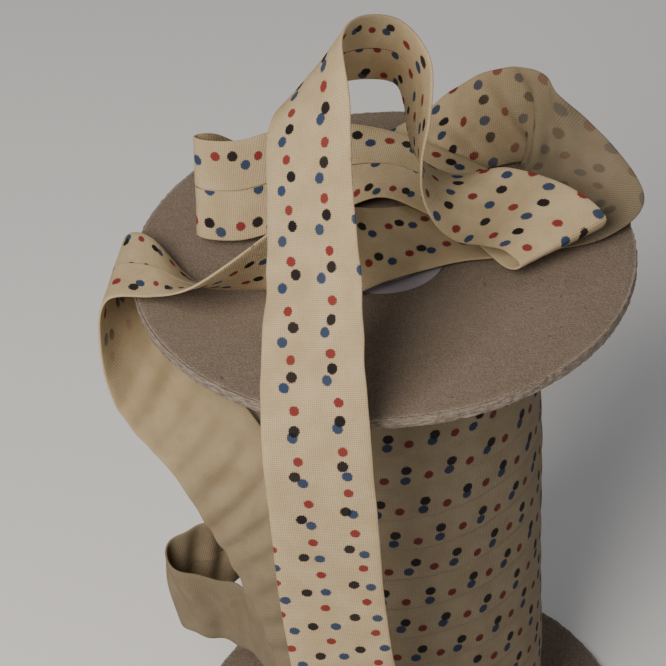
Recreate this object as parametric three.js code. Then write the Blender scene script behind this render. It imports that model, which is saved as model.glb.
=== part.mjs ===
// Reel of bias binding: two chipboard flanges on a paper tube, the wound binding between them,
// one slack turn, and the long loose end looped and piled on the upper flange. Millimetres, Z up.
import * as THREE from "three";

const reelHeight = 145;
const reelAxis = { x: 2.26, y: 5.99 };
const gap = 0.3;

const flangeRadius = 51;
const cardThickness = 2.5;
const cardWear = 0.5;

const boreRadius = 9;
const tubeWall = 3.8;
const tubeRecess = 0.3;

const windingRadius = 31.4;
const turnStep = 0.6;
const turnsAround = 48;
const rowsPerTurn = 5;

const tapeWidth = 20;
const tapeThickness = 1;
const stepsPerRow = 4;
const roundSegments = 72;

const tubeRadius = boreRadius + tubeWall;
const holeRadius = tubeRadius + gap;
const upperFace = reelHeight;

// The loose end, from its cut end to the winding, one table to a strand. A row is a section of the tape:
// its middle from the reel's axis and the upper flange's face, then the direction from edge B to edge A.
const columns = ["x", "y", "z", "acrossX", "acrossY", "acrossZ"];

const frontStrand = [
  [-7.5, -55, -104, -1.0, -0.32, 0.0],
  [-9, -57, -88, -1.0, -0.28, 0.0],
  [-10.5, -59.2, -70, -1.0, -0.15, 0.0],
  [-12.2, -61, -52, -1.0, 0.0, 0.0],
  [-13.2, -61.8, -34, -1.0, 0.04, 0.0],
  [-13.5, -62, -17, -1.0, 0.02, 0.0],
  [-14, -59, -1, -1.0, 0.0, 0.0],
  [-14, -50, 13, -0.96, 0.25, -0.15],
  [-13, -40, 26, -0.87, 0.4, -0.3],
  [-13, -30, 38, -0.8, 0.47, -0.38],
];

const archLoop = [
  [-12.5, -21, 48, -0.76, 0.38, -0.5],
  [-10.5, -12, 53, -0.5, 0.27, -0.82],
  [-3, -3, 51, -0.15, 0.35, -0.92],
  [4.5, 2, 46.5, -0.1, 0.38, -0.92],
  [8, 1, 40, -0.25, 0.5, -0.83],
  [8, -3, 33.5, -0.2, 0.75, -0.62],
  [8, -7, 27, 0.0, 0.85, -0.52],
];

const brightPiece = [
  [12, -8, 21, 0.35, 0.85, -0.3],
  [19.5, -6.5, 16, 0.6, 0.75, 0.28],
  [27, -4.2, 11.6, 0.74, 0.6, 0.32],
  [32.4, -5, 9, 0.86, 0.46, 0.26],
  [35.6, -7.8, 6.6, 0.89, 0.43, 0.2],
];

const underLayer = [
  [32.6, -5.3, 3.6, 0.86, 0.5, 0.06],
  [25, 6, 3, 0.72, 0.68, 0.0],
  [13, 16.5, 4.4, 0.5, 0.86, 0.0],
  [2, 23, 5.4, 0.25, 0.95, 0.1],
  [-10, 20, 7.4, 0.05, 0.82, 0.55],
];

const leftLoop = [
  [-21, 13, 10, -0.05, 0.62, 0.78],
  [-28.5, 10, 10.2, 0.0, 0.6, 0.8],
  [-35, 10, 10.8, 0.0, 0.6, 0.8],
  [-37.3, 12.4, 10.4, 0.02, 0.62, 0.78],
  [-34.5, 15.4, 8.8, 0.05, 0.68, 0.72],
  [-26.5, 20.5, 3.8, 0.05, 0.95, 0.22],
  [-14.5, 26, 1.7, 0.03, 1.0, 0.0],
  [-2, 28.5, 1.2, 0.0, 1.0, 0.0],
];

const tent = [
  [11, 32.5, 3.5, 0.0, 0.97, 0.22],
  [21, 33, 7.9, 0.02, 0.72, 0.7],
  [31.6, 29.8, 11.5, 0.05, 0.3, 0.95],
  [33.2, 24, 9, 0.5, 0.42, 0.75],
  [36.4, 21.4, 6.6, 0.78, 0.29, 0.52],
  [43.8, 11.4, 3.4, 0.96, -0.24, 0.11],
  [38.3, 6.6, 1.7, 0.71, -0.7, 0.02],
];

const crossing = [
  [29, 6.3, 1.2, 0.26, -0.96, 0.0],
  [19.5, 5, 1.1, 0.2, -0.98, 0.0],
  [10.5, 3.6, 1.5, 0.3, -0.95, -0.03],
  [-3, -3, 4.6, 0.25, -0.95, -0.25],
  [-13, -11, 10.2, 0.05, -0.45, -0.88],
  [-22, -15.5, 10.8, 0.0, 0.34, -0.94],
  [-36.5, -17, 7.3, 0.0, 0.8, -0.6],
];

const sideBand = [
  [-46.5, -6, 4.2, -0.05, 1.0, -0.03],
  [-54, -2, 0.9, 0.14, 0.99, 0.02],
  [-55, -4.8, -8, 0.26, 0.96, 0.05],
  [-48, -11, -21.5, 0.68, 0.68, 0.2],
  [-35.5, -22.5, -31.5, 0.85, 0.33, 0.41],
  [-28.5, -27, -51, 0.82, -0.25, 0.5],
  [-21.5, -31.8, -69, 0.88, -0.3, 0.36],
  [-17.5, -34, -86, 0.93, -0.3, 0.2],
  [-15.5, -34.5, -103, 0.95, -0.25, 0.15],
  [-11, -34.8, -117, 0.8, -0.2, 0.55],
  [-1, -33.4, -125.5, 0.5, 0.0, 0.86],
  [11.5, -30.8, -129.5, 0.25, 0.1, 0.96],
  [22.5, -23.8, -130.5, 0.05, 0.05, 1.0],
  [29.8, -13.5, -130.5, 0.0, 0.0, 1.0],
];

// The slack turn stands on edge and bulges from the winding at the left.
const slackTurn = [
  [-11, 30.6, -87, 0.0, 0.0, 1.0],
  [-20.5, 25.4, -87, 0.0, 0.0, 1.0],
  [-27.5, 18, -87.5, 0.0, 0.0, 1.0],
  [-33.5, 11.5, -88, -0.02, 0.03, 1.0],
  [-41, 7, -88.5, -0.06, 0.03, 1.0],
  [-48, 4, -89.5, -0.1, 0.03, 1.0],
  [-51, -0.5, -90.5, -0.1, 0.0, 1.0],
  [-47.5, -5, -91.5, -0.06, -0.04, 1.0],
  [-40.5, -6.5, -92.5, -0.03, -0.04, 1.0],
  [-35, -8.8, -93.5, 0.0, -0.02, 1.0],
  [-31.2, -13, -94.5, 0.0, 0.0, 1.0],
  [-27.5, -18.8, -95.5, 0.0, 0.0, 1.0],
  [-22.2, -24.6, -96, 0.0, 0.0, 1.0],
];

function named(rows) {
  return rows.map((row) => Object.fromEntries(columns.map((name, index) => [name, row[index]])));
}

// A curve through one point of every row, read at even steps from row to row.
function runThrough(points) {
  const curve = new THREE.CatmullRomCurve3(points, false, "catmullrom", 0.5);
  const steps = (points.length - 1) * stepsPerRow;
  return Array.from({ length: steps + 1 }, (unused, step) => curve.getPoint(step / steps));
}

// A closed body from rings of points. Its first and last rings are joined to each other or capped by fans.
function bodyFromRings(rings, joined) {
  const around = rings[0].length;
  const positions = rings.flat().flatMap((point) => point.toArray());
  const index = [];
  const bands = joined ? rings.length : rings.length - 1;
  for (let ring = 0; ring < bands; ring += 1) {
    const above = (ring + 1) % rings.length;
    for (let side = 0; side < around; side += 1) {
      const next = (side + 1) % around;
      const a = ring * around + side;
      const b = ring * around + next;
      const c = above * around + next;
      const d = above * around + side;
      index.push(a, b, c, a, c, d);
    }
  }
  const last = (rings.length - 1) * around;
  for (let side = 1; side + 1 < around && !joined; side += 1) {
    index.push(0, side + 1, side);
    index.push(last, last + side, last + side + 1);
  }
  const geometry = new THREE.BufferGeometry();
  geometry.setAttribute("position", new THREE.Float32BufferAttribute(positions, 3));
  geometry.setIndex(index);
  geometry.computeVertexNormals();
  return geometry;
}

// A strip of tape through its rows, with its width across each row and its thickness square to its face.
function strip(rows) {
  const table = named(rows);
  const middles = runThrough(table.map((row) => new THREE.Vector3(row.x, row.y, row.z)));
  const across = runThrough(
    table.map((row) => new THREE.Vector3(row.acrossX, row.acrossY, row.acrossZ).normalize()),
  );
  const rings = middles.map((middle, step) => {
    const before = middles[Math.max(step - 1, 0)];
    const after = middles[Math.min(step + 1, middles.length - 1)];
    const along = after.clone().sub(before).normalize();
    const width = across[step].clone().normalize();
    const face = along.cross(width).normalize();
    const corner = (side, depth) =>
      middle
        .clone()
        .addScaledVector(width, (side * tapeWidth) / 2)
        .addScaledVector(face, (depth * tapeThickness) / 2);
    return [corner(-1, -1), corner(1, -1), corner(1, 1), corner(-1, 1)];
  });
  return bodyFromRings(rings, false);
}

// A ring turned about the axis from its section, given as radius and height.
function turned(section) {
  const points = section.map(([radius, height]) => new THREE.Vector2(radius, height));
  points.push(points[0].clone());
  return new THREE.LatheGeometry(points, roundSegments).rotateX(Math.PI / 2);
}

function flange(low) {
  const high = low + cardThickness;
  return turned([
    [holeRadius, low],
    [flangeRadius - cardWear, low],
    [flangeRadius, low + cardWear],
    [flangeRadius, high - cardWear],
    [flangeRadius - cardWear, high],
    [holeRadius, high],
  ]);
}

function tube() {
  const low = tubeRecess;
  const high = reelHeight - tubeRecess;
  return turned([
    [boreRadius, low],
    [tubeRadius, low],
    [tubeRadius, high],
    [boreRadius, high],
  ]);
}

// The winding: a thick ring whose outside steps in along a slanted line once for every width of tape.
function winding() {
  const low = cardThickness + gap;
  const high = reelHeight - cardThickness - gap;
  const rows = Math.round(((high - low) / tapeWidth) * rowsPerTurn);
  const ringAt = (radiusAt, height) =>
    Array.from({ length: turnsAround }, (unused, side) => {
      const angle = (side / turnsAround) * 2 * Math.PI;
      const radius = radiusAt(angle, height);
      return new THREE.Vector3(radius * Math.cos(angle), radius * Math.sin(angle), height);
    });
  const inside = () => tubeRadius + gap;
  const outside = (angle, height) => {
    const turns = height / tapeWidth + angle / (2 * Math.PI);
    return windingRadius + turnStep * (turns - Math.floor(turns) - 0.5);
  };
  const rings = [ringAt(inside, low)];
  for (let row = 0; row <= rows; row += 1) {
    rings.push(ringAt(outside, low + ((high - low) * row) / rows));
  }
  rings.push(ringAt(inside, high));
  return bodyFromRings(rings, true);
}

const reel = new THREE.Group();

function add(name, geometry, look, height = 0) {
  const mesh = new THREE.Mesh(geometry, new THREE.MeshStandardMaterial(look));
  mesh.name = name;
  mesh.position.set(reelAxis.x, reelAxis.y, height);
  reel.add(mesh);
}

const chipboard = { color: 0x8c7a69, roughness: 0.92, metalness: 0 };
const tubePaper = { color: 0xa39aa0, roughness: 0.85, metalness: 0 };
const printedCotton = { color: 0xd3c4ac, roughness: 0.9, metalness: 0 };

const looseRows = [
  ...frontStrand,
  ...archLoop,
  ...brightPiece,
  ...underLayer,
  ...leftLoop,
  ...tent,
  ...crossing,
  ...sideBand,
];

add("top_flange", flange(reelHeight - cardThickness), chipboard);
add("bottom_flange", flange(0), chipboard);
add("core_tube", tube(), tubePaper);
add("wound_tape", winding(), printedCotton);
add("slack_turn", strip(slackTurn), printedCotton, upperFace);
add("loose_tape", strip(looseRows), printedCotton, upperFace);

export default reel;
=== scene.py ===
"""Reel of dotted bias binding: card flanges on a paper tube, the wound binding and its loose end."""
import math

import bpy
from mathutils import Matrix, Vector, noise


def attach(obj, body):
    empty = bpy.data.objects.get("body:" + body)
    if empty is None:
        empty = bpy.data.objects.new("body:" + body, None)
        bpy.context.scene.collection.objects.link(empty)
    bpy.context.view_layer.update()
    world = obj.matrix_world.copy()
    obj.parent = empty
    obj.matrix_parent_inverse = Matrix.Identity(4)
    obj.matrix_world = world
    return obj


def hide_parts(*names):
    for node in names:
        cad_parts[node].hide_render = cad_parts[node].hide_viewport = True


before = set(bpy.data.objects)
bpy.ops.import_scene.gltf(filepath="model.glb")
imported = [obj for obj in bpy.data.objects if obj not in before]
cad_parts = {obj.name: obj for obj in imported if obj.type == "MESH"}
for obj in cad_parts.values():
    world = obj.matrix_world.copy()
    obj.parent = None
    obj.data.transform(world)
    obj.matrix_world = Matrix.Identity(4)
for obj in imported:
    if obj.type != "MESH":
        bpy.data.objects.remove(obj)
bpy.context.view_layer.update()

MM = 0.001

# Sizes of the reel, in millimetres
REEL_HEIGHT = 145
AXIS_X = 2.26
AXIS_Y = 5.99
FLANGE_RADIUS = 51
CARD_THICKNESS = 2.5
RIM_BAND = 1.5
CARD_SIDES = 512
CARD_RINGS = 6
CARD_EDGE = 0.22
WEAR_FROM = 49
WEAR_WIDTH = 2
WEAR_DEPTH = 0.1
RAGGED = 0.26
RAGGED_SPAN = 0.9
PRESSED = 0.1
PRESSED_SPAN = 9
BORE_RADIUS = 9
TUBE_RADIUS = 12.8
TUBE_RECESS = 0.3
TUBE_EDGE = 0.3
TUBE_SIDES = 160
HOLE_RADIUS = 13.1
WINDING_RADIUS = 31.4
WINDING_GAP = 0.3
TURN_PITCH = 8.6

# Angles, in degrees, past which an edge is eased or kept crisp
EASED_ANGLE = 40
CRISP_ANGLE = 35
CRISP_CLOTH_ANGLE = 50

# A wound turn's folded edge, from under it to its outer face, and how the turn laps the one below
FOLD_EDGE = [
    # radius, height
    (31.38, 0.30),
    (31.48, 0.06),
    (31.70, 0.0),
    (31.88, 0.12),
    (31.93, 0.40),
]
LAP_OVER = 1.2
LAP_SINK = 0.55
LAP_CURVE = 1.6
LAP_STEPS = 7
TURN_STEPS = 128
SPARE_TURNS = 3
SWELL = 0.35
SWELL_SPAN = 14

# Sizes of the binding: its folded width, the cloth, and the two raw-edged flaps folded to the back
TAPE_WIDTH = 20
CLOTH = 0.2
LAYER_STEP = 0.34
FLAP_WIDTH = 9.85
FLAP_LIFT = 0.06
FLAP_STEPS = 8
FRONT_CROWN = 0.10
FRONT_STEPS = 14
STEPS_PER_ROW = 18
CLOTH_WAVE = 0.22
WAVES_ALONG = 0.09
WAVES_ACROSS = 0.12
EDGE_WANDER = 0.18
EDGE_WAVES = 0.2

# Each row is a section of the tape: its middle from the reel's axis and the upper flange's face,
# then the direction across, from edge B to edge A.
FRONT_STRAND = [
    (-7.5, -55, -104, -1.0, -0.32, 0.0),
    (-9, -57, -88, -1.0, -0.28, 0.0),
    (-10.5, -59.2, -70, -1.0, -0.15, 0.0),
    (-12.2, -61, -52, -1.0, 0.0, 0.0),
    (-13.2, -61.8, -34, -1.0, 0.04, 0.0),
    (-13.5, -62, -17, -1.0, 0.02, 0.0),
    (-14, -59, -1, -1.0, 0.0, 0.0),
    (-14, -50, 13, -0.96, 0.25, -0.15),
    (-13, -40, 26, -0.87, 0.4, -0.3),
    (-13, -30, 38, -0.8, 0.47, -0.38),
]

ARCH_LOOP = [
    (-12.5, -21, 48, -0.76, 0.38, -0.5),
    (-10.5, -12, 53, -0.5, 0.27, -0.82),
    (-3, -3, 51, -0.15, 0.35, -0.92),
    (4.5, 2, 46.5, -0.1, 0.38, -0.92),
    (8, 1, 40, -0.25, 0.5, -0.83),
    (8, -3, 33.5, -0.2, 0.75, -0.62),
    (8, -7, 27, 0.0, 0.85, -0.52),
]

BRIGHT_PIECE = [
    (12, -8, 21, 0.35, 0.85, -0.3),
    (19.5, -6.5, 16, 0.6, 0.75, 0.28),
    (27, -4.2, 11.6, 0.74, 0.6, 0.32),
    (32.4, -5, 9, 0.86, 0.46, 0.26),
    (35.6, -7.8, 6.6, 0.89, 0.43, 0.2),
]

UNDER_LAYER = [
    (32.6, -5.3, 3.6, 0.86, 0.5, 0.06),
    (25, 6, 3, 0.72, 0.68, 0.0),
    (13, 16.5, 4.4, 0.5, 0.86, 0.0),
    (2, 23, 5.4, 0.25, 0.95, 0.1),
    (-10, 20, 7.4, 0.05, 0.82, 0.55),
]

LEFT_LOOP = [
    (-21, 13, 10, -0.05, 0.62, 0.78),
    (-28.5, 10, 10.2, 0.0, 0.6, 0.8),
    (-35, 10, 10.8, 0.0, 0.6, 0.8),
    (-37.3, 12.4, 10.4, 0.02, 0.62, 0.78),
    (-34.5, 15.4, 8.8, 0.05, 0.68, 0.72),
    (-26.5, 20.5, 3.8, 0.05, 0.95, 0.22),
    (-14.5, 26, 1.7, 0.03, 1.0, 0.0),
    (-2, 28.5, 1.2, 0.0, 1.0, 0.0),
]

TENT = [
    (11, 32.5, 3.5, 0.0, 0.97, 0.22),
    (21, 33, 7.9, 0.02, 0.72, 0.7),
    (31.6, 29.8, 11.5, 0.05, 0.3, 0.95),
    (33.2, 24, 9, 0.5, 0.42, 0.75),
    (36.4, 21.4, 6.6, 0.78, 0.29, 0.52),
    (43.8, 11.4, 3.4, 0.96, -0.24, 0.11),
    (38.3, 6.6, 1.7, 0.71, -0.7, 0.02),
]

CROSSING = [
    (29, 6.3, 1.2, 0.26, -0.96, 0.0),
    (19.5, 5, 1.1, 0.2, -0.98, 0.0),
    (10.5, 3.6, 1.5, 0.3, -0.95, -0.03),
    (-3, -3, 4.6, 0.25, -0.95, -0.25),
    (-13, -11, 10.2, 0.05, -0.45, -0.88),
    (-22, -15.5, 10.8, 0.0, 0.34, -0.94),
    (-36.5, -17, 7.3, 0.0, 0.8, -0.6),
]

SIDE_BAND = [
    (-46.5, -6, 4.2, -0.05, 1.0, -0.03),
    (-54, -2, 0.9, 0.14, 0.99, 0.02),
    (-55, -4.8, -8, 0.26, 0.96, 0.05),
    (-48, -11, -21.5, 0.68, 0.68, 0.2),
    (-35.5, -22.5, -31.5, 0.85, 0.33, 0.41),
    (-28.5, -27, -51, 0.82, -0.25, 0.5),
    (-21.5, -31.8, -69, 0.88, -0.3, 0.36),
    (-17.5, -34, -86, 0.93, -0.3, 0.2),
    (-15.5, -34.5, -103, 0.95, -0.25, 0.15),
    (-11, -34.8, -117, 0.8, -0.2, 0.55),
    (-1, -33.4, -125.5, 0.5, 0.0, 0.86),
    (11.5, -30.8, -129.5, 0.25, 0.1, 0.96),
    (22.5, -23.8, -130.5, 0.05, 0.05, 1.0),
    (29.8, -13.5, -130.5, 0.0, 0.0, 1.0),
]

LOOSE_END = FRONT_STRAND + ARCH_LOOP + BRIGHT_PIECE + UNDER_LAYER
LOOSE_END += LEFT_LOOP + TENT + CROSSING + SIDE_BAND

SLACK_TURN = [
    (-11, 30.6, -87, 0.0, 0.0, 1.0),
    (-20.5, 25.4, -87, 0.0, 0.0, 1.0),
    (-27.5, 18, -87.5, 0.0, 0.0, 1.0),
    (-33.5, 11.5, -88, -0.02, 0.03, 1.0),
    (-41, 7, -88.5, -0.06, 0.03, 1.0),
    (-48, 4, -89.5, -0.1, 0.03, 1.0),
    (-51, -0.5, -90.5, -0.1, 0.0, 1.0),
    (-47.5, -5, -91.5, -0.06, -0.04, 1.0),
    (-40.5, -6.5, -92.5, -0.03, -0.04, 1.0),
    (-35, -8.8, -93.5, 0.0, -0.02, 1.0),
    (-31.2, -13, -94.5, 0.0, 0.0, 1.0),
    (-27.5, -18.8, -95.5, 0.0, 0.0, 1.0),
    (-22.2, -24.6, -96, 0.0, 0.0, 1.0),
]

# How strongly paper, board and cotton shine
MATT_SPECULAR = 0.25


class Shade:
    """A material's node tree under construction. Values made by it join in Python sums."""

    def __init__(self, name):
        self.material = bpy.data.materials.new(name)
        self.material.use_nodes = True
        self.tree = self.material.node_tree
        self.surface = self.tree.nodes["Principled BSDF"]

    def node(self, kind, settings=None, out=0, **sockets):
        """A new node's output. Its sockets go by name, or by number as i0, i1 and so on."""
        made = self.tree.nodes.new(kind)
        for key, value in (settings or {}).items():
            setattr(made, key, value)
        for key, value in sockets.items():
            numbered = key[0] == "i" and key[1:].isdigit()
            socket = int(key[1:]) if numbered else key
            self.feed(made.inputs[socket], value)
        return Value(self, made.outputs[out])

    def feed(self, socket, value):
        if isinstance(value, Value):
            self.tree.links.new(value.socket, socket)
        else:
            socket.default_value = value

    def maths(self, operation, *values):
        sockets = {f"i{place}": value for place, value in enumerate(values)}
        return self.node("ShaderNodeMath", {"operation": operation}, **sockets)

    def mix(self, share, first, second, blend="MIX"):
        return self.node(
            "ShaderNodeMix",
            {"data_type": "RGBA", "blend_type": blend},
            out=2,
            i0=share,
            i6=first,
            i7=second,
        )

    def split(self, vector):
        first = self.node("ShaderNodeSeparateXYZ", i0=vector)
        return [Value(self, part) for part in first.socket.node.outputs]

    def join(self, x, y, z=0.0):
        return self.node("ShaderNodeCombineXYZ", i0=x, i1=y, i2=z)

    def place(self):
        """The place on the piece, in metres from the reel's origin."""
        return self.node("ShaderNodeTexCoord", out=3)

    def noise(self, vector, scale, detail=2.0, roughness=0.5):
        return self.node(
            "ShaderNodeTexNoise",
            Vector=vector,
            Scale=scale,
            Detail=detail,
            Roughness=roughness,
        )

    def finish(self, colour, roughness, height, depth):
        bump = self.node("ShaderNodeBump", Height=height, Distance=depth, Strength=1.0)
        self.feed(self.surface.inputs["Base Color"], colour)
        self.feed(self.surface.inputs["Roughness"], roughness)
        self.feed(self.surface.inputs["Normal"], bump)
        self.surface.inputs["Specular IOR Level"].default_value = MATT_SPECULAR
        return self.material


class Value:
    """One socket of a shader, with the operators that its sums use."""

    def __init__(self, shade, socket):
        self.shade = shade
        self.socket = socket

    def __add__(self, other):
        return self.shade.maths("ADD", self, other)

    def __sub__(self, other):
        return self.shade.maths("SUBTRACT", self, other)

    def __mul__(self, other):
        return self.shade.maths("MULTIPLY", self, other)

    def __truediv__(self, other):
        return self.shade.maths("DIVIDE", self, other)

    def __radd__(self, other):
        return self.shade.maths("ADD", other, self)

    def __rsub__(self, other):
        return self.shade.maths("SUBTRACT", other, self)

    def __rmul__(self, other):
        return self.shade.maths("MULTIPLY", other, self)

    def floor(self):
        return self.shade.maths("FLOOR", self)

    def sine(self):
        return self.shade.maths("SINE", self)

    def root(self):
        return self.shade.maths("SQRT", self)

    def step(self, low, high):
        return self.shade.node(
            "ShaderNodeMapRange",
            {"interpolation_type": "SMOOTHSTEP"},
            i0=self,
            i1=low,
            i2=high,
            i3=0.0,
            i4=1.0,
        )


# Colours of the print and the cloth, linear
CREAM = (0.60, 0.475, 0.295, 1)
CREAM_SHADE = (0.50, 0.385, 0.225, 1)
CREAM_GAP = (0.27, 0.19, 0.10, 1)
# The tint that painted shade multiplies into the cloth
PAINTED_SHADE_TINT = (0.34, 0.355, 0.405, 1)
# How much painted shade darkens the whole winding
WOUND_PAINTED_SHADE = 0.88
WOUND_SLIP = 0.4
PRINT_RED = (0.20, 0.026, 0.024, 1)
PRINT_BLACK = (0.008, 0.006, 0.008, 1)
PRINT_BLUE = (0.028, 0.048, 0.098, 1)

# The print: dots in columns along the tape. Each ink has a screen of its own, which sits ahead of the
# black one or aside from it, and slips against it to and fro along the tape.
COLUMN_PITCH = 8.6
REPEAT = 9.4
COLUMN_SHIFT = 1.7
FIRST_DOT = 5.6
SLIP_MIDDLE = 95
SLIP_WAVE = 30
SCREEN_COLUMNS = ("ink", "radius", "ahead", "ahead_slip", "aside", "aside_slip")
SCREENS = [
    (PRINT_RED, 0.95, 3.9, 0.9, 1.3, 1.9),
    (PRINT_BLUE, 1.04, -1.3, 1.3, 1.2, 3.4),
    (PRINT_BLACK, 1.08, 0.0, 0.0, 0.0, 0.0),
]
DOT_WANDER = 0.9
DOT_SOFT_INSIDE = 0.12
DOT_SOFT_OUTSIDE = 0.14
INK_WEIGHT = 0.96
INK_SPREAD = 0.035

# The weave: uneven threads at 45 degrees to the tape, and the frayed edge that they give a dot
BIAS = math.sqrt(0.5)
WEAVE_PITCH = 0.55
THREAD_GAP = 0.72
SLUB_FINE = 2.6
SLUB_LONG = 0.22
SLUB_TINT = 0.3
FRAY_SCALE = 3.1
FRAY_RAGGED = 0.5
FRAY_THREADS = 0.14
FRAY_MIDDLE = 0.32
TONE_SCALE = 0.16
CREASE_SCALE = 0.35
COTTON_ROUGH = 0.86
COTTON_RELIEF = 0.12

# The tape turns its plain side out from here on, in millimetres along it
PLAIN_FROM = 574
PLAIN_FADE = 14
PLAIN_TRACE = 0.06

# Stretches of the loose end that lie creased, crumpled or pleated, in millimetres along it
CRUMPLES = [
    {"start": 110, "end": 146, "pitch": 12, "rise": 0.5, "slant": 0.75},
    {"start": 404, "end": 452, "pitch": 8.5, "rise": 0.85, "slant": 0.9},
    {"start": 588, "end": 680, "pitch": 7.5, "rise": 0.6, "slant": 0.3},
]
CRUMPLE_ENDS = 10
CRUMPLE_SWAY = 2.2
SWAY_ALONG = 0.05
SWAY_ACROSS = 0.08

# A ridge is highest in the middle of the tape and lower towards its edges
RIDGE_ALL_OVER = 0.6
RIDGE_MIDDLE = 0.4
RIDGE_FALL = 0.16

# Where shade is painted on the loose end: on the pile's raised fold, where its print is also fainter,
# and then more and more down the side band and on the slack turn
TENT_FROM = 410
TENT_TO = 492
TENT_FADE = 30
TENT_PAINTED_SHADE = 0.85
TENT_PRINT_FADE = 0.6
SIDE_FROM = 570
SIDE_TO = 665
SIDE_PAINTED_SHADE = 0.85


def printed_cotton(name, tape_place):
    """Cream plain-weave cotton cut on the bias and printed with dots.

    tape_place gives the millimetres along and across, then how strongly the print shows, how much
    painted shade darkens the cloth and how far the screens slip."""
    shade = Shade(name)
    along, across, printed, painted_shade, slipping = tape_place(shade)
    flat = shade.join(along, across)

    warp_place = (along + across) * BIAS
    weft_place = (along - across) * BIAS
    warp = (warp_place * (math.tau / WEAVE_PITCH)).sine()
    weft = (weft_place * (math.tau / WEAVE_PITCH)).sine()
    threads = warp * weft * 0.5 + 0.5
    warp_slub = shade.noise(shade.join(warp_place * SLUB_FINE, weft_place * SLUB_LONG), 1.0, 2.0, 0.6)
    weft_slub = shade.noise(shade.join(warp_place * SLUB_LONG, weft_place * SLUB_FINE), 1.0, 2.0, 0.6)
    slub = warp_slub * 0.5 + weft_slub * 0.5
    frayed = shade.noise(flat, FRAY_SCALE, 2.0) * FRAY_RAGGED + threads * FRAY_THREADS - FRAY_MIDDLE

    tone = shade.noise(flat, TONE_SCALE, 3.0, 0.55).step(0.3, 0.72)
    colour = shade.mix(tone, CREAM_SHADE, CREAM)
    colour = shade.mix((1 - threads) * THREAD_GAP, colour, CREAM_GAP)
    colour = shade.mix(slub.step(0.5, 0.68) * SLUB_TINT, colour, CREAM_SHADE)
    slip = ((SLIP_MIDDLE - along) / SLIP_WAVE).sine() * slipping
    for order, row in enumerate(SCREENS):
        screen = dict(zip(SCREEN_COLUMNS, row))
        screen_across = across + slip * screen["aside_slip"] + screen["aside"]
        column = (screen_across / COLUMN_PITCH).floor()
        lead = slip * screen["ahead_slip"] + (screen["ahead"] + FIRST_DOT)
        screen_along = along + column * COLUMN_SHIFT - lead
        repeat = (screen_along / REPEAT + 0.5).floor()
        dot = shade.join(column, repeat, order + 0.5)
        wander = shade.node("ShaderNodeTexWhiteNoise", {"noise_dimensions": "3D"}, out=1, Vector=dot)
        shift_along, shift_across, size = shade.split(wander)
        gone_along = screen_along - repeat * REPEAT - (shift_along - 0.5) * DOT_WANDER
        gone_across = screen_across - (column + 0.5) * COLUMN_PITCH - (shift_across - 0.5) * DOT_WANDER
        reach = (gone_along * gone_along + gone_across * gone_across).root() + frayed
        inked = 1 - reach.step(screen["radius"] - DOT_SOFT_INSIDE, screen["radius"] + DOT_SOFT_OUTSIDE)
        weight = inked * (INK_WEIGHT + size * INK_SPREAD) * printed
        colour = shade.mix(weight, colour, screen["ink"])
    # Painted shade: a multiplied tint darkens the cloth where shadow and dim light fall
    colour = shade.mix(painted_shade, colour, PAINTED_SHADE_TINT, "MULTIPLY")
    crumple = shade.noise(flat, CREASE_SCALE, 4.0, 0.6)
    height = threads * 0.8 + slub * 0.6 + crumple * 1.2
    return shade.finish(colour, COTTON_ROUGH + threads * 0.08, height, COTTON_RELIEF * MM)


def from_tape_map(shade):
    """Places from the sheet's own map, in metres there. The print ends where the tape turns plain."""
    mapped = shade.node("ShaderNodeUVMap", {"uv_map": "tape"})
    along, across = shade.split(mapped)[:2]
    along = along * (1 / MM)
    tent = along.step(TENT_FROM, TENT_FROM + TENT_FADE) * (1 - along.step(TENT_TO - TENT_FADE, TENT_TO))
    printed = 1 - along.step(PLAIN_FROM, PLAIN_FROM + PLAIN_FADE) * (1 - PLAIN_TRACE)
    # Painted shade on the raised fold and, growing, down the side band and the slack turn
    painted_shade = tent * TENT_PAINTED_SHADE + along.step(SIDE_FROM, SIDE_TO) * SIDE_PAINTED_SHADE
    return along, across * (1 / MM), printed * (1 - tent * TENT_PRINT_FADE), painted_shade, 1.0


def from_winding(shade):
    """Millimetres along and across the turns, from the place on the winding."""
    x, y, z = shade.split(shade.place())
    turn = shade.maths("ARCTAN2", y - AXIS_Y * MM, x - AXIS_X * MM) / math.tau
    height = z * (1 / MM) / TURN_PITCH - turn
    count = height.floor()
    along = (turn + count) * (math.tau * WINDING_RADIUS)
    across = (height - count) * TURN_PITCH + count * (2 * COLUMN_PITCH)
    # The winding gets painted shade all over
    return along, across, 1.0, WOUND_PAINTED_SHADE, WOUND_SLIP


# Colours of the board, linear, the radii over which its pale worn rim and its torn wall set in, and
# the grain of its fibres
BOARD_DARK = (0.132, 0.098, 0.071, 1)
BOARD_PALE = (0.168, 0.127, 0.094, 1)
BOARD_FIBRE = (0.23, 0.182, 0.14, 1)
BOARD_SAND = (0.27, 0.216, 0.17, 1)
BOARD_FLECK = (0.06, 0.042, 0.03, 1)
BOARD_RIM = (0.40, 0.33, 0.27, 1)
BOARD_LAYER_DARK = (0.105, 0.082, 0.063, 1)
BOARD_LAYER_PALE = (0.28, 0.23, 0.187, 1)
RIM_PALE = (50.1, 50.9)
RIM_WALL = (50.6, 50.8)
TORN_ALONG = 0.5
TORN_UP = 1.9
SAND_SCALE = 2600
FIBRE_A_SCALE = 1900
FIBRE_B_SCALE = 1700
FIBRE_STRETCH = 0.35
CLOUD_SCALE = 40
FLECK_SCALE = 700
BOARD_ROUGH = 0.9
BOARD_RELIEF = 0.2

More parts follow.
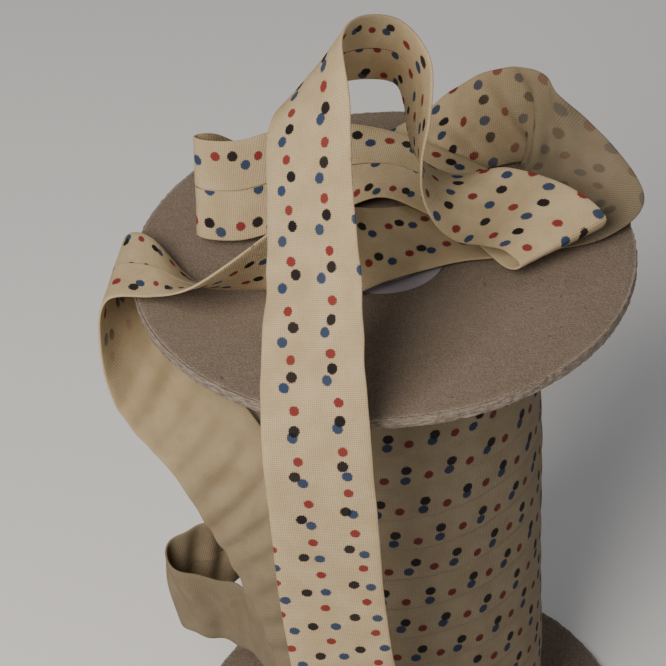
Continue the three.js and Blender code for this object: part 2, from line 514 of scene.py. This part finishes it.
# Colours of the tube, linear, the thickness of its plies and how far a seam climbs in one turn
TUBE_SHADE = (0.30, 0.27, 0.31, 1)
TUBE_PALE = (0.40, 0.365, 0.41, 1)
TUBE_PLY = (0.20, 0.175, 0.19, 1)
TUBE_SEAM = (0.16, 0.13, 0.13, 1)
PLY_PITCH = 0.5
SEAM_CLIMB = 48
SEAM_SHARE = 0.012
PAPER_GRAIN = 1400
PAPER_ROUGH = 0.8
PAPER_RELIEF = 0.12

# The floor: its colours, linear, its size in metres and its faint grain
FLOOR_SHADE = (0.88, 0.87, 0.855, 1)
FLOOR_PALE = (0.90, 0.89, 0.875, 1)
FLOOR_SIZE = 6
FLOOR_GRAIN = 300
FLOOR_ROUGH = 0.85
FLOOR_RELIEF = 0.02


def chipboard():
    """Grey-brown board: pressed fibres, dark and pale flecks, and a pale worn rim."""
    shade = Shade("chipboard")
    place = shade.place()
    x, y, z = shade.split(place)
    out_x = x - AXIS_X * MM
    out_y = y - AXIS_Y * MM
    radius = (out_x * out_x + out_y * out_y).root() * (1 / MM)
    turn = shade.maths("ARCTAN2", out_y, out_x) * FLANGE_RADIUS
    sand = shade.noise(place, SAND_SCALE, 2.0, 0.7)
    lengthwise = shade.node("ShaderNodeMapping", Vector=place, Scale=(1.0, FIBRE_STRETCH, 1.0))
    crosswise = shade.node("ShaderNodeMapping", Vector=place, Scale=(FIBRE_STRETCH, 1.0, 1.0))
    fibre_a = shade.noise(lengthwise, FIBRE_A_SCALE, 3.0, 0.6)
    fibre_b = shade.noise(crosswise, FIBRE_B_SCALE, 3.0, 0.6)
    cloud = shade.noise(place, CLOUD_SCALE, 4.0, 0.6)
    fleck = shade.noise(place, FLECK_SCALE, 1.0)
    torn = shade.noise(shade.join(turn * TORN_ALONG, z * (TORN_UP / MM)), 1.0, 3.0, 0.65)
    colour = shade.mix(cloud.step(0.25, 0.75), BOARD_DARK, BOARD_PALE)
    colour = shade.mix((fibre_a * fibre_b).step(0.2, 0.36) * 0.4, colour, BOARD_FIBRE)
    colour = shade.mix(sand.step(0.42, 0.62) * 0.5, colour, BOARD_SAND)
    colour = shade.mix(fleck.step(0.74, 0.79) * 0.5, colour, BOARD_FLECK)
    ragged = radius + (sand - 0.5) * 1.6 + (cloud - 0.5) * 0.8
    colour = shade.mix(ragged.step(*RIM_PALE) * 0.6, colour, BOARD_RIM)
    wall = radius.step(*RIM_WALL)
    layers = shade.mix(torn.step(0.36, 0.64), BOARD_LAYER_DARK, BOARD_LAYER_PALE)
    colour = shade.mix(wall * 0.8, colour, layers)
    height = fibre_a * 0.5 + fibre_b * 0.5 + sand * 0.9 + cloud * 0.8 + wall * torn * 2.0
    return shade.finish(colour, BOARD_ROUGH, height, BOARD_RELIEF * MM)


def tube_paper():
    """Pale lavender-grey paper with the spiral seams of a wound tube."""
    shade = Shade("tube_paper")
    place = shade.place()
    x, y, z = shade.split(place)
    out_x = x - AXIS_X * MM
    out_y = y - AXIS_Y * MM
    turn = shade.maths("ARCTAN2", out_y, out_x) / math.tau
    radius = (out_x * out_x + out_y * out_y).root()
    plies = (radius * (math.tau / (PLY_PITCH * MM))).sine() * 0.5 + 0.5
    climb = z * (1 / (SEAM_CLIMB * MM)) + turn
    seam = climb - climb.floor()
    closed = seam.step(0.0, SEAM_SHARE) * (1 - seam.step(1 - SEAM_SHARE, 1.0))
    grain = shade.noise(place, PAPER_GRAIN, 3.0)
    colour = shade.mix(grain, TUBE_SHADE, TUBE_PALE)
    colour = shade.mix(plies * 0.2, colour, TUBE_PLY)
    colour = shade.mix((1 - closed) * 0.6, colour, TUBE_SEAM)
    return shade.finish(colour, PAPER_ROUGH, grain * 0.4 + closed, PAPER_RELIEF * MM)


def pale_floor():
    """A plain pale studio floor."""
    shade = Shade("pale_floor")
    grain = shade.noise(shade.place(), FLOOR_GRAIN, 2.0)
    colour = shade.mix(grain, FLOOR_SHADE, FLOOR_PALE)
    return shade.finish(colour, FLOOR_ROUGH, grain, FLOOR_RELIEF * MM)


def start():
    """Deselect every object before a new piece is made or one piece is worked on."""
    bpy.ops.object.select_all(action="DESELECT")


def settle(piece, name, material, slot, *nodes):
    """Name a finished piece, put its place in its mesh, dress it and seat it on the reel."""
    start()
    piece.select_set(True)
    bpy.context.view_layer.objects.active = piece
    bpy.ops.object.transform_apply(location=True, rotation=True, scale=True)
    piece.name = name
    piece.data.name = name
    piece.data.materials.clear()
    piece.data.materials.append(material)
    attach(piece, "root")
    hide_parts(*nodes)


def apply_modifier(piece, kind, **settings):
    """Add one modifier to a piece and apply it."""
    bpy.context.view_layer.objects.active = piece
    modifier = piece.modifiers.new(kind.lower(), kind)
    for key, value in settings.items():
        setattr(modifier, key, value)
    bpy.ops.object.modifier_apply(modifier=modifier.name)


def ease_edges(piece, width):
    """Round off a piece's sharp edges."""
    apply_modifier(
        piece,
        "BEVEL",
        width=width * MM,
        segments=2,
        limit_method="ANGLE",
        angle_limit=math.radians(EASED_ANGLE),
    )


def select_faces(piece, wanted):
    """In edit mode, select only the faces that pass the test."""
    bpy.ops.mesh.select_all(action="DESELECT")
    bpy.ops.object.mode_set(mode="OBJECT")
    for polygon in piece.data.polygons:
        polygon.select = wanted(polygon)
    bpy.ops.object.mode_set(mode="EDIT")


def card(name, low, node, material):
    """A punched disc of board with a ragged worn rim and a slightly uneven face.

    The lower card, at height 0, is uneven only at its rim, so that it stands flat."""
    start()
    bpy.ops.mesh.primitive_cylinder_add(
        vertices=CARD_SIDES,
        radius=FLANGE_RADIUS * MM,
        depth=CARD_THICKNESS * MM,
        location=Vector((AXIS_X, AXIS_Y, low + CARD_THICKNESS / 2)) * MM,
    )
    piece = bpy.context.object
    bpy.ops.object.mode_set(mode="EDIT")
    bpy.ops.mesh.select_mode(type="FACE")
    select_faces(piece, lambda polygon: abs(polygon.normal.z) > 0.9)
    bpy.ops.mesh.inset(thickness=RIM_BAND * MM)
    for ring in range(CARD_RINGS):
        bpy.ops.mesh.inset(thickness=(FLANGE_RADIUS - RIM_BAND - HOLE_RADIUS) / CARD_RINGS * MM)
    bpy.ops.mesh.bridge_edge_loops()
    bpy.ops.object.mode_set(mode="OBJECT")
    ease_edges(piece, CARD_EDGE)
    for vertex in piece.data.vertices:
        out = math.hypot(vertex.co.x, vertex.co.y) / MM
        rim = max(0.0, min(1.0, (out - WEAR_FROM) / WEAR_WIDTH))
        ragged = noise.noise(vertex.co / (RAGGED_SPAN * MM) + Vector((7, 3, low))) * RAGGED
        pressed = noise.noise(vertex.co / (PRESSED_SPAN * MM) + Vector((3, 8, low))) * PRESSED
        vertex.co.xy *= 1 + rim * (ragged - WEAR_DEPTH) / FLANGE_RADIUS
        vertex.co.z += (abs(pressed) * rim if low == 0 else pressed) * MM
    bpy.ops.object.shade_smooth_by_angle(angle=math.radians(CRISP_ANGLE))
    settle(piece, name, material, "chipboard", node)


def paper_tube(material):
    """The tube through both cards, a thick wall with eased ends."""
    start()
    bpy.ops.mesh.primitive_cylinder_add(
        vertices=TUBE_SIDES,
        radius=TUBE_RADIUS * MM,
        depth=(REEL_HEIGHT - 2 * TUBE_RECESS) * MM,
        end_fill_type="NOTHING",
        location=Vector((AXIS_X, AXIS_Y, REEL_HEIGHT / 2)) * MM,
    )
    piece = bpy.context.object
    apply_modifier(piece, "SOLIDIFY", thickness=(TUBE_RADIUS - BORE_RADIUS) * MM, offset=-1.0)
    ease_edges(piece, TUBE_EDGE)
    bpy.ops.object.shade_smooth_by_angle(angle=math.radians(CRISP_ANGLE))
    settle(piece, "paper_tube", material, "tube_paper", "core_tube")


def winding(material):
    """The binding on the tube: a folded edge swept round and up, each turn lapping the one below."""
    start()
    outer_radius, outer_low = FOLD_EDGE[-1]
    lap_high = TURN_PITCH + LAP_OVER
    lap = list(FOLD_EDGE)
    for step in range(1, LAP_STEPS + 1):
        share = step / LAP_STEPS
        sunk = outer_radius - LAP_SINK * share ** LAP_CURVE
        lap.append((sunk, outer_low + (lap_high - outer_low) * share))
    low = CARD_THICKNESS + WINDING_GAP
    high = REEL_HEIGHT - CARD_THICKNESS - WINDING_GAP
    turns = math.ceil((high - low) / TURN_PITCH) + SPARE_TURNS
    mesh = bpy.data.meshes.new("wound_binding")
    points = [(radius * MM, 0, (height - 2 * TURN_PITCH) * MM) for radius, height in lap]
    mesh.from_pydata(points, [(step, step + 1) for step in range(len(lap) - 1)], [])
    piece = bpy.data.objects.new("wound_binding", mesh)
    bpy.context.collection.objects.link(piece)
    piece.select_set(True)
    apply_modifier(
        piece,
        "SCREW",
        angle=math.tau,
        screw_offset=TURN_PITCH * MM,
        iterations=turns,
        steps=TURN_STEPS,
        render_steps=TURN_STEPS,
        use_smooth_shade=True,
        use_merge_vertices=False,
    )
    bpy.ops.object.mode_set(mode="EDIT")
    for height, up in ((low, -1), (high, 1)):
        bpy.ops.mesh.select_all(action="SELECT")
        bpy.ops.mesh.bisect(plane_co=(0, 0, height * MM), plane_no=(0, 0, up), clear_outer=True)
    bpy.ops.mesh.select_all(action="SELECT")
    bpy.ops.mesh.normals_make_consistent(inside=False)
    bpy.ops.object.mode_set(mode="OBJECT")
    for vertex in piece.data.vertices:
        swell = noise.noise(vertex.co / (SWELL_SPAN * MM)) * SWELL
        vertex.co.xy *= 1 + swell / WINDING_RADIUS
    piece.location = Vector((AXIS_X, AXIS_Y, 0)) * MM
    settle(piece, "wound_binding", material, "printed_cotton", "wound_tape")


def curve_through(points):
    """Points on a smooth curve through all the given ones, a fixed number to each span."""
    ends = [points[0] * 2 - points[1]] + points + [points[-1] * 2 - points[-2]]
    found = []
    for first, second, third, fourth in zip(ends, ends[1:], ends[2:], ends[3:]):
        leaving = (third - first) * 0.5
        arriving = (fourth - second) * 0.5
        for step in range(STEPS_PER_ROW):
            t = step / STEPS_PER_ROW
            cubic = (second * 2 - third * 2 + leaving + arriving) * t ** 3
            square = (second * -3 + third * 3 - leaving * 2 - arriving) * t ** 2
            found.append(cubic + square + leaving * t + second)
    found.append(points[-1])
    return found


def folded_section():
    """The binding's section: across, depth behind its middle, and distance across the opened cloth."""
    half = TAPE_WIDTH / 2
    bend = LAYER_STEP / 2
    flap = []
    for step in range(FLAP_STEPS + 1):
        share = step / FLAP_STEPS
        across = half - FLAP_WIDTH + share * (FLAP_WIDTH - bend)
        lift = FLAP_LIFT * (1 - share) ** 2
        flap.append((across, -bend - lift, half + FLAP_WIDTH - share * FLAP_WIDTH))
    for step in (1, 2, 3):
        turn = math.pi * step / 4
        flap.append((half - bend + bend * math.sin(turn), -bend * math.cos(turn), half))
    front = []
    for step in range(FRONT_STEPS + 1):
        share = 1 - 2 * step / FRONT_STEPS
        across = share * (half - bend)
        crown = FRONT_CROWN * (1 - share ** 6)
        front.append((across, bend + crown, share * half))
    other_flap = [(-across, depth, -opened) for across, depth, opened in reversed(flap)]
    return flap + front + other_flap


def eased(value, low, high):
    """A smooth step from 0 at low to 1 at high."""
    share = max(0.0, min(1.0, (value - low) / (high - low)))
    return share * share * (3 - 2 * share)


def crumple_height(along, side):
    """How far the cloth stands out of its smooth run where it lies creased, crumpled or pleated."""
    height = 0.0
    for stretch in CRUMPLES:
        inside = eased(along, stretch["start"], stretch["start"] + CRUMPLE_ENDS)
        inside *= 1 - eased(along, stretch["end"] - CRUMPLE_ENDS, stretch["end"])
        sway_spot = Vector((along * SWAY_ALONG, side * SWAY_ACROSS, stretch["pitch"]))
        sway = noise.noise(sway_spot) * CRUMPLE_SWAY
        ridge = math.sin((along + side * stretch["slant"]) * math.tau / stretch["pitch"] + sway)
        fall = RIDGE_ALL_OVER + RIDGE_MIDDLE * math.cos(side * RIDGE_FALL)
        height += stretch["rise"] * inside * ridge * fall
    return height


def binding(name, rows, node, material, map_start=0):
    """A length of folded binding laid through its rows, as one sheet with its raw edges at the back.

    map_start is how far along the tape, in millimetres, its first row lies."""
    middles = curve_through([Vector(row[:3]) for row in rows])
    directions = curve_through([Vector(row[3:]).normalized() for row in rows])
    section = folded_section()
    base = Vector((AXIS_X, AXIS_Y, REEL_HEIGHT))
    lengths = [0.0]
    for before, after in zip(middles, middles[1:]):
        lengths.append(lengths[-1] + (after - before).length)
    points = []
    for step, middle in enumerate(middles):
        before = middles[max(step - 1, 0)]
        after = middles[min(step + 1, len(middles) - 1)]
        across = directions[step].normalized()
        face = (after - before).normalized().cross(across).normalized()
        for side, depth, opened in section:
            spot = Vector((lengths[step] * WAVES_ALONG, side * WAVES_ACROSS, len(rows)))
            wave = noise.noise(spot) * CLOTH_WAVE + crumple_height(lengths[step] + map_start, side)
            edge_spot = Vector((lengths[step] * EDGE_WAVES, math.copysign(4, side), len(rows)))
            pull = 1 + noise.noise(edge_spot) * EDGE_WANDER / TAPE_WIDTH
            points.append((base + middle + across * side * pull + face * (depth + wave)) * MM)
    wide = len(section)
    faces = []
    for step in range(len(middles) - 1):
        for side in range(wide - 1):
            corner = step * wide + side
            faces.append((corner, corner + 1, corner + wide + 1, corner + wide))
    mesh = bpy.data.meshes.new(name)
    mesh.from_pydata(points, [], faces)
    tape_map = mesh.uv_layers.new(name="tape")
    for loop in mesh.loops:
        step, side = divmod(loop.vertex_index, wide)
        tape_map.data[loop.index].uv = ((map_start + lengths[step]) * MM, section[side][2] * MM)
    piece = bpy.data.objects.new(name, mesh)
    bpy.context.collection.objects.link(piece)
    start()
    piece.select_set(True)
    apply_modifier(piece, "SOLIDIFY", thickness=CLOTH * MM, offset=0.0)
    bpy.ops.object.shade_smooth_by_angle(angle=math.radians(CRISP_CLOTH_ANGLE))
    settle(piece, name, material, "printed_cotton", node)


board = chipboard()
card("upper_card", REEL_HEIGHT - CARD_THICKNESS, "top_flange", board)
card("lower_card", 0, "bottom_flange", board)
paper_tube(tube_paper())
winding(printed_cotton("wound_cotton", from_winding))
loose_cotton = printed_cotton("loose_cotton", from_tape_map)
binding(
    "slack_binding",
    SLACK_TURN,
    "slack_turn",
    loose_cotton,
    map_start=PLAIN_FROM + 2 * PLAIN_FADE,
)
binding("loose_binding", LOOSE_END, "loose_tape", loose_cotton)

# A pale floor, the camera at the photograph's view, and soft light from the left
start()
bpy.ops.mesh.primitive_plane_add(size=FLOOR_SIZE)
floor = bpy.context.object
floor.name = "floor"
floor.data.materials.append(pale_floor())

VIEW_RIGHT = Vector((0.99853, -0.01467, -0.05218))
VIEW_UP = Vector((0.04975, 0.63006, 0.77495))
VIEW_AHEAD = Vector((-0.0215, 0.77641, -0.62986))
VIEW_FROM = Vector((AXIS_X, AXIS_Y - 405.69, REEL_HEIGHT + 309.05)) * MM
SENSOR = 36
FOCAL_PIXELS = 2523.4
FRAME_PIXELS = 666

camera_data = bpy.data.cameras.new("camera")
camera_data.sensor_width = SENSOR
camera_data.sensor_fit = "HORIZONTAL"
camera_data.lens = FOCAL_PIXELS / FRAME_PIXELS * SENSOR
camera_data.clip_start = 0.01
camera = bpy.data.objects.new("camera", camera_data)
turned = Matrix((VIEW_RIGHT, VIEW_UP, -VIEW_AHEAD)).transposed().to_4x4()
camera.matrix_world = Matrix.Translation(VIEW_FROM) @ turned
bpy.context.collection.objects.link(camera)
bpy.context.scene.camera = camera

REEL_TOP = (0, 0, 0.15)
ROOM_COLOUR = (0.82, 0.84, 0.88, 1)
ROOM_STRENGTH = 0.24


def soft_light(name, place, size, power, colour):
    """A square soft light that points at the top of the reel."""
    lamp = bpy.data.lights.new(name, "AREA")
    lamp.size = size
    lamp.energy = power
    lamp.color = colour
    holder = bpy.data.objects.new(name, lamp)
    holder.location = place
    holder.rotation_euler = (Vector(REEL_TOP) - Vector(place)).to_track_quat("-Z", "Y").to_euler()
    bpy.context.collection.objects.link(holder)


soft_light("window", place=(-0.28, -0.46, 0.60), size=0.40, power=6.7, colour=(1.0, 0.94, 0.86))
soft_light("fill", place=(0.7, -0.5, 0.5), size=0.8, power=0.6, colour=(1.0, 0.97, 0.94))

world = bpy.data.worlds.new("soft_room")
bpy.context.scene.world = world
world.use_nodes = True
room = world.node_tree.nodes["Background"]
room.inputs["Color"].default_value = ROOM_COLOUR
room.inputs["Strength"].default_value = ROOM_STRENGTH
